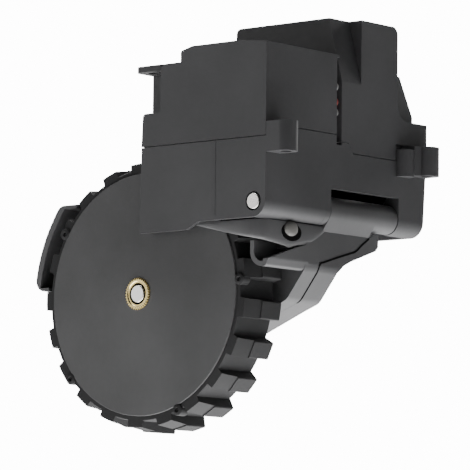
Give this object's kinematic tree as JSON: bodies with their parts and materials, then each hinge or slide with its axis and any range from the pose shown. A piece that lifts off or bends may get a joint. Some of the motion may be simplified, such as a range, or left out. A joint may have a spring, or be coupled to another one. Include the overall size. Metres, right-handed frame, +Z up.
{
  "type": "robot vacuum wheel module",
  "caption": "Drive wheel module for a robot vacuum: lugged tyre on a sprung swing arm with motor and gears, under a stepped open-bottomed housing.",
  "frame": {"origin": "centre of the outboard screw boss's lower face, on the axis of its hole", "axes": "+X from the wheel towards the hinge end and its screw bosses, +Y inboard along the wheel's axle, +Z up in use"},
  "size_m": [0.0942, 0.0673, 0.1087],
  "materials": {
    "housing_plastic": "fine spark-eroded texture, charcoal black",
    "arm_plastic": "fine spark-eroded texture, charcoal black",
    "wheel_plastic": "satin texture, charcoal black",
    "tyre_rubber": "moulded, slightly dusty",
    "brass": "turned and knurled",
    "steel": "ground",
    "motor_steel": "zinc plated, satin",
    "motor_plastic": "moulded end cap",
    "gear_plastic": "natural acetal"
  },
  "bodies": {
    "housing": {"lower_housing": "housing_plastic", "upper_cover": "housing_plastic", "pivot_pin": "steel"},
    "arm": {"arm_outer_half": "arm_plastic", "arm_inner_half": "arm_plastic", "case_screws": "steel", "second_gear_shaft": "steel", "first_gear_shaft": "steel", "outboard_bush": "brass", "inboard_bush": "brass", "motor_can": "motor_steel", "motor_cap": "motor_plastic", "stop_pin": "steel"},
    "wheel": {"wheel_disc": "wheel_plastic", "tyre": "tyre_rubber", "hub_insert": "brass", "wheel_axle": "steel", "output_gear": "gear_plastic"},
    "second_wheel": {"second_gear": "gear_plastic"},
    "first_wheel": {"first_gear": "gear_plastic"},
    "rotor": {"motor_pinion": "brass", "motor_shaft": "steel"}
  },
  "joints": [
    {"name": "arm_swing", "type": "hinge", "parent": "housing", "child": "arm", "pos_m": [-0.0083, 0, -0.0124], "axis": [0, 1, 0], "range_deg": [0, 28], "stiffness_Nm_per_rad": 0.6, "springref_deg": -22.92},
    {"name": "wheel_spin", "type": "hinge", "parent": "arm", "child": "wheel", "pos_m": [-0.0499, 0, -0.0338], "axis": [0, 1, 0], "continuous": true},
    {"name": "second_gear_spin", "type": "hinge", "parent": "arm", "child": "second_wheel", "pos_m": [-0.03395, 0, -0.02636], "axis": [0, 1, 0], "continuous": true},
    {"name": "first_gear_spin", "type": "hinge", "parent": "arm", "child": "first_wheel", "pos_m": [-0.02748, 0, -0.01249], "axis": [0, 1, 0], "continuous": true},
    {"name": "motor_spin", "type": "hinge", "parent": "arm", "child": "rotor", "pos_m": [-0.03219, 0, 0.00042], "axis": [0, 1, 0], "continuous": true}
  ],
  "couplings": [
    {"joint": "second_gear_spin", "follows": "wheel_spin", "ratio": -2.6667},
    {"joint": "first_gear_spin", "follows": "wheel_spin", "ratio": 9.697},
    {"joint": "motor_spin", "follows": "wheel_spin", "ratio": -43.636}
  ]
}
